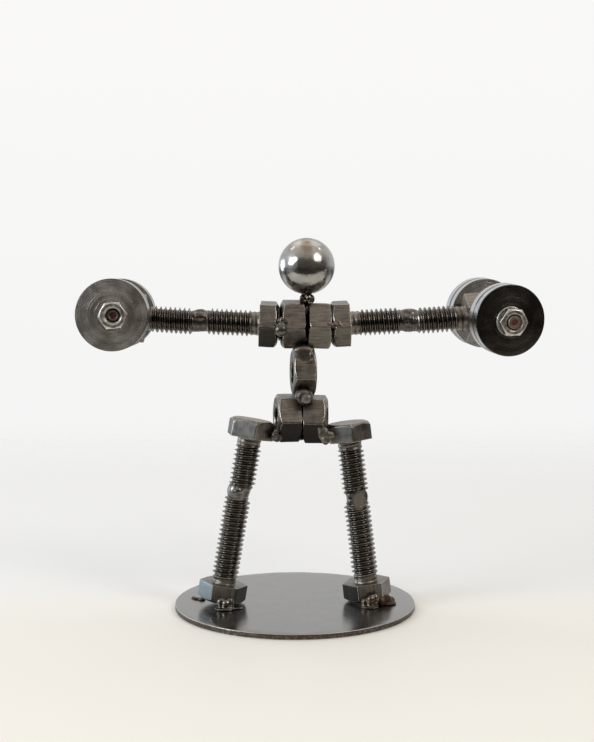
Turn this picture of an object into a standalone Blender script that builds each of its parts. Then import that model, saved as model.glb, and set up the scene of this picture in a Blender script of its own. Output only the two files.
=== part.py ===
"""Weightlifter figurine welded together from hex bolts, hex nuts, discs and a bearing ball.

Run with: blender --background --python part.py
Lengths are metres and +Z is up.  The origin is the centre of the base plate's underside.  The figure
faces -Y, and left and right are the viewer's, so +X is on the right.
"""
import math

import bmesh
import bpy
from mathutils import Matrix, Vector

MM = 0.001
GAP = 0.3 * MM  # clearance that pieces which touch keep to each other

# Base plate, cut from sheet.
PLATE_DIAMETER = 72.6 * MM
PLATE_THICKNESS = 1.6 * MM
PLATE_SIDES = 56

# 5/16-inch coarse hardware: 18 threads to the inch.
THREAD_PITCH = 25.4 / 18 * MM
THREAD_OUTER = 7.94 * MM
THREAD_ROOT = 6.1 * MM
NECK_DIAMETER = 7.0 * MM
BOLT_ACROSS_FLATS = 12.7 * MM
BOLT_HEAD_HEIGHT = 5.5 * MM
BOLT_HEAD_FACE = 0.88  # diameter of the flat top, as a share of the width across flats
NUT_ACROSS_FLATS = 13.25 * MM
NUT_HEIGHT = 6.75 * MM
NUT_BORE = 6.5 * MM
NUT_COUNTERSINK = 8.0 * MM
CHAMFER_ANGLE = math.radians(30)
CHAMFER_SIDES = 12
BORE_SIDES = 12
THREAD_COLUMNS = 8  # straight facets in one turn of the thread
HEAD_SINK = 1.0 * MM  # how far the shank runs into the head before they are joined

# Head.
BALL_DIAMETER = 16.7 * MM
BALL_SEGMENTS = 20
BALL_RINGS = 10

# Hand weights: two discs in front of each hand and two behind, held by a small screw.
DISC_DIAMETER = 21.1 * MM
DISC_THICKNESS = 3.2 * MM
DISC_SIDES = 22
SCREW_DIAMETER = 4.0 * MM
SCREW_HOLE = 5.8 * MM
SCREW_SIDES = 10
SMALL_NUT_FLATS = 7.5 * MM
SMALL_NUT_HEIGHT = 2.8 * MM
SMALL_NUT_FACE = 0.95
SMALL_NUT_BORE = 4.6 * MM
SMALL_WASHER_DIAMETER = 8.6 * MM
SMALL_WASHER_THICKNESS = 0.7 * MM

# Finishes: base colour, roughness and metallic value.
FINISHES = {
    "bolt_steel": ((0.14, 0.12, 0.105), 0.38, 1.0),
    "ball_steel": ((0.52, 0.50, 0.48), 0.14, 1.0),
    "disc_steel": ((0.22, 0.20, 0.185), 0.30, 1.0),
    "plate_steel": ((0.20, 0.20, 0.20), 0.42, 1.0),
    "zinc_nut": ((0.55, 0.53, 0.47), 0.25, 1.0),
    "weld_steel": ((0.10, 0.09, 0.08), 0.30, 1.0),
}

# Each bolt: centre of the bearing face under its head, point of its shank, turn of the flats about
# the shank and length of the plain neck.
BOLTS = {
    "shin_bolt_left": ((-21.4, -3.0, 8.1), (-17.05, -2.4, 34.3), 5.6, 1.22),
    "shin_bolt_right": ((21.45, -0.3, 8.0), (18.5, -0.3, 32.2), 6.9, 1.49),
    "thigh_bolt_left": ((-13.5, -1.5, 51.9), (-16.1, -2.3, 36.8), 18.5, 1.99),
    "thigh_bolt_right": ((16.3, 0.0, 50.75), (18.25, -0.5, 34.6), 21.9, 1.94),
    "upper_arm_bolt_left": ((-10.5, 0.0, 85.8), (-26.4, 0.3, 86.55), 23.5, 1.99),
    "upper_arm_bolt_right": ((16.1, 0.0, 85.9), (31.7, 1.1, 86.65), 36.0, 2.46),
    "forearm_bolt_left": ((-44.75, 1.2, 87.3), (-29.9, 0.6, 86.4), -1.5, 1.45),
    "forearm_bolt_right": ((50.95, 2.6, 87.4), (36.1, 1.3, 86.5), -1.3, 2.51),
}

# Each nut: centre, turn about Z, roll about Y, turn of the flats about the bore, and the faces of its left
# and right ends as shares of the width across flats; a small face is a deep chamfer.
NUTS = {
    "pelvis_nut_left": ((-2.4, 0.0, 57.55), 9.6, 0.0, 25.3, 0.93, 1.06),
    "pelvis_nut_right": ((6.3, 0.0, 57.2), -4.9, 0.0, 25.3, 1.06, 0.93),
    "waist_nut": ((2.45, 0.0, 71.4), 7.0, 0.0, 19.0, 0.95, 0.95),
    "chest_nut_left": ((-0.85, 0.0, 85.7), 5.2, 0.0, 21.5, 0.93, 1.06),
    "chest_nut_right": ((7.2, 0.0, 85.2), 4.0, 2.0, 31.0, 1.06, 0.95),
}

# Heads whose edge is melted into a nut by the weld, and are cut clear of it.
MELTED_EDGES = {
    "thigh_bolt_right": "pelvis_nut_right",
    "upper_arm_bolt_right": "chest_nut_right",
}

BALL_CENTRE = (3.45, 0.0, 102.9)

# Each weight: centre between the discs, turn of its front towards +X, tilt of its front upwards, half the
# space between the inner discs, how far the screw sits off the discs' centre, how far it stands out of
# the front nut, turns of the two nuts.
WEIGHTS = {
    "left": ((-53.2, 1.3, 88.6), 0.6, 1.9, 6.8, (0.65, -0.1), -1.4, -25.0, 8.0),
    "right": ((59.75, 4.3, 87.9), 12.3, -2.6, 7.4, (-0.3, -0.1), 0.25, 27.0, -5.0),
}
WASHER_SIDE = "right"

# Each weld between two shank points: the two bolts, bead radius on its bare side, how much fuller its
# full side is, and the full side's turn about the shank from the front.
SHANK_WELDS = {
    "knee_weld_left": ("thigh_bolt_left", "shin_bolt_left", 3.1, 0.6, 60.0),
    "knee_weld_right": ("thigh_bolt_right", "shin_bolt_right", 2.9, 0.7, -60.0),
    "elbow_weld_left": ("upper_arm_bolt_left", "forearm_bolt_left", 3.4, 0.45, 20.0),
    "elbow_weld_right": ("upper_arm_bolt_right", "forearm_bolt_right", 3.35, 0.4, -80.0),
}
SHANK_WELD_SIDES = 14
SHANK_WELD_RINGS = 4

# Each weld bead: centre, half-sizes, and the pieces it is laid against.
BEADS = {
    "neck_weld": ((3.4, -0.3, 93.3), (2.4, 2.4, 1.9), ("head_ball", "chest_nut_left", "chest_nut_right")),
    "chest_weld_left": (
        (-4.1, -6.9, 84.7), (2.1, 1.7, 2.4), ("chest_nut_left", "upper_arm_bolt_left")),
    "chest_weld_right": (
        (11.9, -7.6, 85.8), (2.6, 1.3, 1.5), ("chest_nut_right", "upper_arm_bolt_right")),
    "waist_weld": (
        (3.0, -4.9, 77.5), (3.1, 2.0, 2.2), ("waist_nut", "chest_nut_left", "chest_nut_right")),
    "belly_weld": (
        (2.7, -5.6, 64.5), (2.9, 2.7, 2.8), ("waist_nut", "pelvis_nut_left", "pelvis_nut_right")),
    "chest_weld_rear": ((2.7, 6.9, 85.4), (1.9, 1.5, 7.2), ("chest_nut_left", "chest_nut_right")),
    "pelvis_weld_rear": ((1.6, 5.3, 57.1), (3.0, 1.9, 6.9), ("pelvis_nut_left", "pelvis_nut_right")),
    "hip_weld_left": ((-5.4, -5.0, 52.3), (1.9, 1.7, 1.9), ("pelvis_nut_left", "thigh_bolt_left")),
    "hip_weld_right": ((9.6, -5.2, 52.2), (2.5, 1.9, 2.5), ("pelvis_nut_right", "thigh_bolt_right")),
    "foot_weld_left_front": ((-20.9, -9.9, 2.9), (2.6, 2.0, 2.0), ("base_plate", "shin_bolt_left")),
    "foot_weld_left_side": ((-30.3, 1.2, 1.9), (1.3, 1.3, 0.75), ("base_plate", "shin_bolt_left")),
    "foot_weld_right_front": ((22.3, -7.5, 2.9), (2.4, 1.9, 2.0), ("base_plate", "shin_bolt_right")),
    "foot_weld_right_side": ((27.7, -2.6, 3.2), (2.4, 2.4, 2.3), ("base_plate", "shin_bolt_right")),
}
BEAD_LUMP = 0.10  # depth of the lumps on a bead, as a share of its size


# ---------------------------------------------------------------- meshes

def evaluated_mesh(thing):
    """The mesh of an object with its modifiers applied; the object is removed."""
    bpy.context.view_layer.update()
    depsgraph = bpy.context.evaluated_depsgraph_get()
    mesh = bpy.data.meshes.new_from_object(thing.evaluated_get(depsgraph))
    bpy.data.objects.remove(thing)
    return mesh


def scratch_object(mesh):
    """A temporary object that only lives until its modifiers are applied."""
    thing = bpy.data.objects.new("scratch", mesh)
    bpy.context.scene.collection.objects.link(thing)
    return thing


def boolean(first, second, operation):
    """Join, cut or intersect two meshes."""
    thing = scratch_object(first)
    tool = scratch_object(second)
    modifier = thing.modifiers.new("Boolean", "BOOLEAN")
    modifier.operation = operation
    modifier.object = tool
    result = evaluated_mesh(thing)
    bpy.data.objects.remove(tool)
    return result


def mesh_from(bm):
    """Turn a bmesh into a mesh and free it."""
    bmesh.ops.recalc_face_normals(bm, faces=bm.faces)
    mesh = bpy.data.meshes.new("mesh")
    bm.to_mesh(mesh)
    bm.free()
    return mesh


def largest_body(mesh):
    """Keep the largest of a mesh's separate bodies."""
    bm = bmesh.new()
    bm.from_mesh(mesh)
    waiting = set(bm.verts)
    bodies = []
    while waiting:
        body = []
        front = [waiting.pop()]
        while front:
            vert = front.pop()
            body.append(vert)
            joined = {edge.other_vert(vert) for edge in vert.link_edges} & waiting
            waiting -= joined
            front += joined
        bodies.append(body)
    bodies.sort(key=len)
    for body in bodies[:-1]:
        bmesh.ops.delete(bm, geom=body, context="VERTS")
    return mesh_from(bm)


def turned(profile, sides, closed=False):
    """Revolve a profile of (radius, height) points, listed down its outer side, about Z."""
    mesh = bpy.data.meshes.new("profile")
    count = len(profile)
    edges = [(index, index + 1) for index in range(count - 1)]
    if closed:
        edges.append((count - 1, 0))
    mesh.from_pydata([(radius, 0.0, height) for radius, height in profile], edges, [])
    thing = scratch_object(mesh)
    screw = thing.modifiers.new("Screw", "SCREW")
    screw.steps = sides
    screw.render_steps = sides
    screw.use_merge_vertices = True
    screw.merge_threshold = 1e-6
    return evaluated_mesh(thing)


def hex_prism(across_flats, bottom, top):
    """A hexagonal prism about Z with a flat facing +X."""
    bm = bmesh.new()
    radius = across_flats / 2 / math.cos(math.radians(30))
    middle = Matrix.Translation((0.0, 0.0, (bottom + top) / 2))
    bmesh.ops.create_cone(
        bm, cap_ends=True, segments=6, radius1=radius, radius2=radius, depth=top - bottom, matrix=middle)
    return mesh_from(bm)


def chamfered_hex(across_flats, bottom, top, bottom_share, top_share, sides):
    """A hexagonal prism whose corners are turned down at each end that has a face share."""
    wide = across_flats * 0.62
    beyond = 1.0 * MM
    if top_share:
        face = across_flats / 2 * top_share
        drop = (wide - face) * math.tan(CHAMFER_ANGLE)
        profile = [(0.0, top), (face, top), (wide, top - drop)]
    else:
        profile = [(0.0, top + beyond), (wide, top + beyond)]
    if bottom_share:
        face = across_flats / 2 * bottom_share
        drop = (wide - face) * math.tan(CHAMFER_ANGLE)
        profile += [(wide, bottom + drop), (face, bottom), (0.0, bottom)]
    else:
        profile += [(wide, bottom - beyond), (0.0, bottom - beyond)]
    prism = hex_prism(across_flats, bottom, top)
    return boolean(prism, turned(profile, sides), "INTERSECT")


def threaded_shank(length, neck):
    """A plain neck from inside the head, then a helical vee thread to a chamfered point."""
    bm = bmesh.new()
    turns = (length - neck) / THREAD_PITCH
    half_turns = 2 * (math.ceil(turns) + 2)
    runout = THREAD_PITCH
    point = 0.8 * THREAD_PITCH

    def thread_vertex(column, half_turn):
        along = neck + THREAD_PITCH * (half_turn / 2 - 1 + column / THREAD_COLUMNS)
        along = min(max(along, neck), length)
        full = THREAD_OUTER / 2 if half_turn % 2 else THREAD_ROOT / 2
        grown = min((along - neck) / runout, 1.0)
        radius = NECK_DIAMETER / 2 + (full - NECK_DIAMETER / 2) * grown
        left = (length - along) / point
        if left < 1.0:
            radius = min(radius, THREAD_ROOT / 2 + (THREAD_OUTER - THREAD_ROOT) / 2 * left)
        angle = 2 * math.pi * column / THREAD_COLUMNS
        return bm.verts.new((radius * math.cos(angle), radius * math.sin(angle), along))

    grid = [[thread_vertex(column, half) for half in range(half_turns + 1)]
            for column in range(THREAD_COLUMNS)]
    for column in range(THREAD_COLUMNS):
        last = column == THREAD_COLUMNS - 1
        following = grid[0][2:] if last else grid[column + 1]
        for low in range(min(len(following), len(grid[column])) - 1):
            corners = (grid[column][low], following[low], following[low + 1], grid[column][low + 1])
            bm.faces.new(corners)
    bmesh.ops.remove_doubles(bm, verts=bm.verts, dist=1e-7)
    bmesh.ops.dissolve_degenerate(bm, edges=bm.edges, dist=1e-7)
    loose = [vert for vert in bm.verts if not vert.link_faces]
    bmesh.ops.delete(bm, geom=loose, context="VERTS")
    rims = [edge for edge in bm.edges if edge.is_boundary]
    neck_rim = [edge for edge in rims if all(vert.co.z < neck + 1e-6 for vert in edge.verts)]
    sunk = bmesh.ops.extrude_edge_only(bm, edges=neck_rim)
    for item in sunk["geom"]:
        if isinstance(item, bmesh.types.BMVert):
            item.co.z = -HEAD_SINK
    bmesh.ops.holes_fill(bm, edges=[edge for edge in bm.edges if edge.is_boundary])
    bmesh.ops.triangulate(bm, faces=[face for face in bm.faces if len(face.verts) == 4])
    return mesh_from(bm)


def bolt_mesh(length, neck):
    """A hex bolt: bearing face at the origin, shank along +Z."""
    head = chamfered_hex(BOLT_ACROSS_FLATS, -BOLT_HEAD_HEIGHT, 0.0, BOLT_HEAD_FACE, None, CHAMFER_SIDES)
    return boolean(head, threaded_shank(length, neck), "UNION")


def nut_mesh(across_flats, height, bore, countersink, bottom_share, top_share, sides):
    """A hex nut centred on the origin, bored along Z."""
    body = chamfered_hex(across_flats, -height / 2, height / 2, bottom_share, top_share, sides)
    beyond = 0.5 * MM
    outside = height / 2 + beyond
    if countersink > bore:
        mouth = countersink / 2 + beyond
        wall = height / 2 - (countersink - bore) / 2
        profile = [
            (0.0, outside), (mouth, outside), (bore / 2, wall),
            (bore / 2, -wall), (mouth, -outside), (0.0, -outside),
        ]
    else:
        profile = [(0.0, outside), (bore / 2, outside), (bore / 2, -outside), (0.0, -outside)]
    return boolean(body, turned(profile, BORE_SIDES), "DIFFERENCE")


def disc_mesh(diameter, thickness, hole, sides):
    """A flat disc along +Z from the origin, with a hole."""
    outer = diameter / 2
    inner = hole / 2
    profile = [(inner, thickness), (outer, thickness), (outer, 0.0), (inner, 0.0)]
    return turned(profile, sides, closed=True)


def plate_mesh():
    """The round base plate, standing on the plane z = 0."""
    radius = PLATE_DIAMETER / 2
    profile = [(0.0, PLATE_THICKNESS), (radius, PLATE_THICKNESS), (radius, 0.0), (0.0, 0.0)]
    return turned(profile, PLATE_SIDES)


def screw_mesh(back, front):
    """The small screw through the discs, along Z, with its front end chamfered."""
    radius = SCREW_DIAMETER / 2
    end = 0.5 * MM
    profile = [(0.0, front), (radius - end, front), (radius, front - end), (radius, back), (0.0, back)]
    return turned(profile, SCREW_SIDES)


def ball_mesh(radius):
    """A ball centred on the origin."""
    bm = bmesh.new()
    bmesh.ops.create_uvsphere(bm, u_segments=BALL_SEGMENTS, v_segments=BALL_RINGS, radius=radius)
    return mesh_from(bm)


def bead_mesh(half_sizes, seed):
    """A lumpy weld bead centred on the origin."""
    bm = bmesh.new()
    bmesh.ops.create_icosphere(bm, subdivisions=2, radius=1.0)
    for vert in bm.verts:
        way = vert.co.normalized()
        lumps = math.sin(5.1 * way.x + seed) + math.sin(6.3 * way.z - 1.7 * seed)
        lumps += math.sin(4.3 * way.y + 2.9 * seed)
        vert.co = Vector(half_sizes) * (1.0 + BEAD_LUMP * lumps / 3)
        vert.co = Vector((vert.co.x * way.x, vert.co.y * way.y, vert.co.z * way.z))
    return mesh_from(bm)


def shank_weld_mesh(start, start_axis, end, end_axis, radius, bulge, full_side):
    """A short run of bead from one shank point to the next, fuller on one side."""
    bm = bmesh.new()
    rings = []
    for ring in range(SHANK_WELD_RINGS + 1):
        share = ring / SHANK_WELD_RINGS
        centre = start.lerp(end, share)
        turn = facing(centre, start_axis.lerp(end_axis, share), 0.0).to_3x3()
        swell = math.sin(math.pi * share)
        row = []
        for side in range(SHANK_WELD_SIDES):
            angle = 2 * math.pi * side / SHANK_WELD_SIDES
            full = 0.5 + 0.5 * math.cos(angle - full_side)
            lump = 0.2 * swell * math.sin(3 * angle + 4 * share)
            reach = radius + bulge * (full + lump)
            row.append(bm.verts.new(centre + turn @ Vector((math.cos(angle), math.sin(angle), 0)) * reach))
        rings.append(row)
    for low, high in zip(rings, rings[1:]):
        for side in range(SHANK_WELD_SIDES):
            after = (side + 1) % SHANK_WELD_SIDES
            bm.faces.new((low[side], low[after], high[after], high[side]))
    bm.faces.new(rings[0])
    bm.faces.new(rings[-1])
    bmesh.ops.triangulate(bm, faces=[face for face in bm.faces if len(face.verts) == 4])
    return mesh_from(bm)


# ---------------------------------------------------------------- placing

def facing(point, axis, turn):
    """A frame at a point: Z along the axis, X turned towards the front of the figure."""
    along = axis.normalized()
    front = Vector((0.0, -1.0, 0.0))
    front = (front - along * front.dot(along)).normalized()
    side = along.cross(front)
    basis = Matrix((front, side, along)).transposed().to_4x4()
    return Matrix.Translation(point) @ basis @ Matrix.Rotation(math.radians(turn), 4, "Z")


def in_mm(point):
    """A point given in millimetres, as a vector in metres."""
    return Vector(point) * MM


def bolt_frame(name):
    """Where a bolt stands: origin on its bearing face, Z along the shank."""
    under_head, tip, turn, _ = BOLTS[name]
    return facing(in_mm(under_head), in_mm(tip) - in_mm(under_head), turn)


def nut_frame(name):
    """Where a nut stands: origin at its centre, Z along the bore, pointing left."""
    centre, yaw, roll, turn = NUTS[name][:4]
    yaw = math.radians(yaw)
    roll = math.radians(roll)
    axis = Vector((-math.cos(yaw) * math.cos(roll), -math.sin(yaw) * math.cos(roll), math.sin(roll)))
    return facing(in_mm(centre), axis, turn)


def weight_frame(side):
    """Where a hand weight stands: origin on the screw between the discs, Z to the front and Y up."""
    centre, yaw, tilt = WEIGHTS[side][:3]
    yaw = math.radians(yaw)
    tilt = math.radians(tilt)
    front = Vector((math.sin(yaw) * math.cos(tilt), -math.cos(yaw) * math.cos(tilt), math.sin(tilt)))
    across = Vector((0.0, 0.0, 1.0)).cross(front).normalized()
    basis = Matrix((across, front.cross(across), front)).transposed().to_4x4()
    return Matrix.Translation(in_mm(centre)) @ basis


# ---------------------------------------------------------------- clearances

def clearance(name):
    """A plain solid a gap larger than a piece, for cutting its neighbours clear of it."""
    if name == "base_plate":
        bm = bmesh.new()
        bmesh.ops.create_cube(bm, size=PLATE_DIAMETER)
        mesh = mesh_from(bm)
        mesh.transform(Matrix.Translation((0, 0, PLATE_THICKNESS + GAP - PLATE_DIAMETER / 2)))
    elif name == "head_ball":
        mesh = ball_mesh(BALL_DIAMETER / 2 + GAP)
        mesh.transform(Matrix.Translation(in_mm(BALL_CENTRE)))
    elif name in NUTS:
        mesh = hex_prism(NUT_ACROSS_FLATS + 2 * GAP, -NUT_HEIGHT / 2 - GAP, NUT_HEIGHT / 2 + GAP)
        mesh.transform(nut_frame(name))
    else:
        mesh = hex_prism(BOLT_ACROSS_FLATS + 2 * GAP, -BOLT_HEAD_HEIGHT - GAP, GAP)
        mesh.transform(bolt_frame(name))
    return mesh


# ---------------------------------------------------------------- scene

def finish_material(name, finish):
    """The Principled material of one piece."""
    colour, roughness, metallic = FINISHES[finish]
    material = bpy.data.materials.new(name + "_" + finish)
    material.use_nodes = True
    shader = material.node_tree.nodes["Principled BSDF"]
    shader.inputs["Base Color"].default_value = (*colour, 1.0)
    shader.inputs["Roughness"].default_value = roughness
    shader.inputs["Metallic"].default_value = metallic
    return material


def add_piece(collection, name, mesh, frame, finish):
    """One sub-part: its own object, placed by its matrix, with its own material."""
    mesh.name = name
    mesh.materials.clear()
    mesh.materials.append(finish_material(name, finish))
    mesh.shade_smooth()
    mesh.set_sharp_from_angle(angle=math.radians(35))
    piece = bpy.data.objects.new(name, mesh)
    piece.matrix_world = frame
    collection.objects.link(piece)
    return piece


def add_bolts(collection):
    """The eight bolts of the limbs."""
    for name, (under_head, tip, _, neck) in BOLTS.items():
        length = (in_mm(tip) - in_mm(under_head)).length
        mesh = bolt_mesh(length, neck * MM)
        frame = bolt_frame(name)
        if name in MELTED_EDGES:
            nut = clearance(MELTED_EDGES[name])
            nut.transform(frame.inverted())
            mesh = boolean(mesh, nut, "DIFFERENCE")
        add_piece(collection, name, mesh, frame, "bolt_steel")


def add_nuts(collection):
    """The five large nuts of the trunk."""
    for name, (*_, left_face, right_face) in NUTS.items():
        mesh = nut_mesh(
            NUT_ACROSS_FLATS, NUT_HEIGHT, NUT_BORE, NUT_COUNTERSINK, right_face, left_face, CHAMFER_SIDES)
        add_piece(collection, name, mesh, nut_frame(name), "bolt_steel")


def add_weight(collection, side):
    """The discs, nuts and screw of one hand weight."""
    frame = weight_frame(side)
    inner, off_centre, stand_out, front_turn, rear_turn = WEIGHTS[side][3:]
    screw_frame = frame @ Matrix.Translation(in_mm((*off_centre, 0.0)))
    about = Matrix.Rotation(math.pi, 4, "Y")
    for end, turn in (("front", front_turn), ("rear", rear_turn)):
        outward = frame if end == "front" else frame @ about
        screw_outward = screw_frame if end == "front" else screw_frame @ about
        reach = inner * MM
        for layer in ("inner", "outer"):
            disc = disc_mesh(DISC_DIAMETER, DISC_THICKNESS, SCREW_HOLE, DISC_SIDES)
            stand = outward @ Matrix.Translation((0, 0, reach))
            add_piece(collection, f"weight_disc_{side}_{end}_{layer}", disc, stand, "disc_steel")
            reach += DISC_THICKNESS + GAP
        if side == WASHER_SIDE and end == "front":
            washer = disc_mesh(SMALL_WASHER_DIAMETER, SMALL_WASHER_THICKNESS, SMALL_NUT_BORE, 14)
            stand = screw_outward @ Matrix.Translation((0, 0, reach))
            add_piece(collection, f"weight_washer_{side}", washer, stand, "zinc_nut")
            reach += SMALL_WASHER_THICKNESS + GAP
        nut = nut_mesh(
            SMALL_NUT_FLATS, SMALL_NUT_HEIGHT, SMALL_NUT_BORE, SMALL_NUT_BORE, SMALL_NUT_FACE,
            SMALL_NUT_FACE, CHAMFER_SIDES)
        middle = Matrix.Translation((0, 0, reach + SMALL_NUT_HEIGHT / 2))
        stand = screw_outward @ middle @ Matrix.Rotation(math.radians(turn), 4, "Z")
        add_piece(collection, f"weight_nut_{side}_{end}", nut, stand, "zinc_nut")
        reach += SMALL_NUT_HEIGHT
        if end == "front":
            screw_front = reach + stand_out * MM
    screw = screw_mesh(-reach, screw_front)
    add_piece(collection, f"weight_screw_{side}", screw, screw_frame, "bolt_steel")


def add_welds(collection):
    """The beads between shank points and the beads laid against several pieces."""
    for name, (first, second, radius, bulge, full_side) in SHANK_WELDS.items():
        start_axis = bolt_frame(first).col[2].to_3d()
        end_axis = -bolt_frame(second).col[2].to_3d()
        start = in_mm(BOLTS[first][1]) + start_axis * GAP
        end = in_mm(BOLTS[second][1]) - end_axis * GAP
        mesh = shank_weld_mesh(
            start, start_axis, end, end_axis, radius * MM, bulge * MM, math.radians(full_side))
        add_piece(collection, name, mesh, Matrix.Identity(4), "weld_steel")
    for number, (name, (centre, half_sizes, against)) in enumerate(BEADS.items()):
        mesh = bead_mesh(in_mm(half_sizes), number)
        mesh.transform(Matrix.Translation(in_mm(centre)))
        for neighbour in against:
            mesh = boolean(mesh, clearance(neighbour), "DIFFERENCE")
        add_piece(collection, name, largest_body(mesh), Matrix.Identity(4), "weld_steel")


def main():
    for thing in list(bpy.data.objects):
        bpy.data.objects.remove(thing)
    collection = bpy.data.collections.new("weightlifter_figurine")
    bpy.context.scene.collection.children.link(collection)
    add_piece(collection, "base_plate", plate_mesh(), Matrix.Identity(4), "plate_steel")
    add_bolts(collection)
    add_nuts(collection)
    ball_place = Matrix.Translation(in_mm(BALL_CENTRE))
    add_piece(collection, "head_ball", ball_mesh(BALL_DIAMETER / 2), ball_place, "ball_steel")
    for side in WEIGHTS:
        add_weight(collection, side)
    add_welds(collection)


main()
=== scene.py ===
"""Weightlifter figurine welded together from hex hardware: the finished look of its CAD frame.

Lengths in the tables are millimetres in the frame's own axes: +Z is up, the figure faces -Y, and
left and right are the viewer's.
"""
import math

import bmesh
import bpy
import numpy as np
from mathutils import Matrix, Vector, noise


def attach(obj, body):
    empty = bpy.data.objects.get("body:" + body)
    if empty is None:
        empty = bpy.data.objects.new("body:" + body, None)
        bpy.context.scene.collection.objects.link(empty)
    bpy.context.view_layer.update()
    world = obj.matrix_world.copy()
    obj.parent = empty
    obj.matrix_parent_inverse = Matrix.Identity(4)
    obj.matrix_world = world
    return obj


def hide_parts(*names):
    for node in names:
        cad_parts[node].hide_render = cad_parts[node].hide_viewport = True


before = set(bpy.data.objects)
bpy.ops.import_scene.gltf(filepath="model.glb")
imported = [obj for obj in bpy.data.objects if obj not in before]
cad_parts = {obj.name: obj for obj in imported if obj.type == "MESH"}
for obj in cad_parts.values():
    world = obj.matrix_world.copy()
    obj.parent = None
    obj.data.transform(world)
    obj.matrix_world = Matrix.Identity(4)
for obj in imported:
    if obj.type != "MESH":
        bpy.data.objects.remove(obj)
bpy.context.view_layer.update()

noise.seed_set(7)  # left alone, the noise starts from the clock

MM = 0.001
GAP = 0.3  # between the pieces stacked on a screw

# Camera.
CAMERA_PLACE = (0.6, -416.24, 112.233)
CAMERA_DROP_DEG = 5.5716
CAMERA_LENS = 84.848
CAMERA_SENSOR = 36.0
CAMERA_NEAR = 0.01  # metres

# Edges and dents of the machined pieces.
EASE = 0.22  # how far a rounded edge reaches along each side
CORNER = 0.35  # rounding of a hexagon's upright corners
HUB = 0.3  # radius where the rings of a solid end face begin
SMALLEST_CHAMFER = 0.02
HEX_DENTS = (0.05, 3.0)  # depth and size, here and below
THREAD_DENTS = (0.06, 2.0)
DISC_DENTS = (0.03, 4.0)
PLATE_DENTS = (0.05, 5.0)
SCREW_DENTS = (0.05, 1.0)
SHARP_DEG = 55  # edges that turn by more than this are shaded sharp

# Base plate.
PLATE_RADIUS = 36.3
PLATE_THICKNESS = 1.6
PLATE_EASE = 0.28
PLATE_INSET = 0.05  # keeps the dented rim inside the CAD plate
PLATE_COLUMNS = 240
# Heat stains: centre, and the radii where each starts to fade and is gone.
HEAT_STAINS = (
    ((-21.6, -8.6, 1.6), 3.0, 8.0),
    ((23.0, -6.0, 1.6), 3.0, 8.0),
    ((27.5, -3.5, 1.6), 2.0, 6.0),
)

# 5/16-inch coarse hardware.
PITCH = 25.4 / 18
THREAD_OUTER = 7.94
THREAD_ROOT = 6.1
THREAD_DEPTH = (THREAD_OUTER - THREAD_ROOT) / 2
# The thread's form: places in one pitch, and shares of the thread's depth there.
THREAD_FORM = (
    (0.0, 0.0), (0.12, 0.04), (0.25, 0.25), (0.45, 0.95), (0.48, 1.0),
    (0.52, 1.0), (0.55, 0.95), (0.75, 0.25), (0.88, 0.04))
THREAD_COLUMNS = 56
POINT_PITCHES = 0.8  # length of the shank's chamfered point, in pitches
HEAD_SINK = 1.0  # how far the shank runs into the head
NECK_DIAMETER = 7.0
NECK_MARKS = 0.14  # depth of the faint lines round a neck, as a share of the thread
NECK_FILLET = 0.4  # how far the neck widens where it meets the head
NECK_FILLET_LENGTH = 0.7
BOLT_FLATS = 12.7
BOLT_HEAD = 5.5
BOLT_FACE = 0.88  # flat top of a head, as a share of the width across flats
NUT_FLATS = 13.25
NUT_HEIGHT = 6.75
NUT_BORE = 6.5
NUT_MOUTH = 8.0
NUT_THREAD = 0.65
BORE_ROWS = 60
SLOPE = math.tan(math.radians(30))

# Head and hand weights.
BALL_CENTRE = (3.45, 0.0, 102.9)
BALL_RADIUS = 8.35
BALL_FLAT_WAY = (0.05, -0.57, 0.82)  # towards the tiny flat
BALL_FLAT_DEPTH = 0.09
BALL_COLUMNS = 112
BALL_ROWS = 72
DISC_RADIUS = 10.55
DISC_THICKNESS = 3.2
DISC_HOLE = 2.9
DISC_COLUMNS = 160
DISC_SEEDS = {"left": {"front": 14, "rear": 13}, "right": {"front": 15, "rear": 14}}
SCREW_RADIUS = 2.0
SCREW_DISH = 0.3  # depth of the hollow in the screw's end
SCREW_COLUMNS = 64
SCREW_SEED = 61
SMALL_FLATS = 7.5
SMALL_HEIGHT = 2.8
SMALL_FACE = 0.95
SMALL_BORE = 4.1
SMALL_MOUTH = 5.2
SMALL_THREAD = 0.15
SMALL_EASE = 0.14
SMALL_SEED = 33
WASHER_RADIUS = 4.3
WASHER_THICKNESS = 0.7
WASHER_HOLE = 2.3
WASHER_EASE = 0.15
WASHER_SEED = 50

# Tone and roughness of the bolts and nuts.
BOLT_LOOK = ((0.172, 0.155, 0.138), 0.36)
NUT_LOOK = ((0.175, 0.155, 0.135), 0.37)

# Disc steels: tones of the faces and the rim, roughness, and depth of the relief in metres.
GREY_DISC = ((0.43, 0.405, 0.38), (0.46, 0.44, 0.42), 0.33, 0.0001)
BRIGHT_DISC = ((0.44, 0.42, 0.40), (0.52, 0.53, 0.55), 0.25, 0.0001)
BLACK_DISC = ((0.085, 0.075, 0.068), (0.52, 0.53, 0.55), 0.20, 0.00008)

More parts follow.
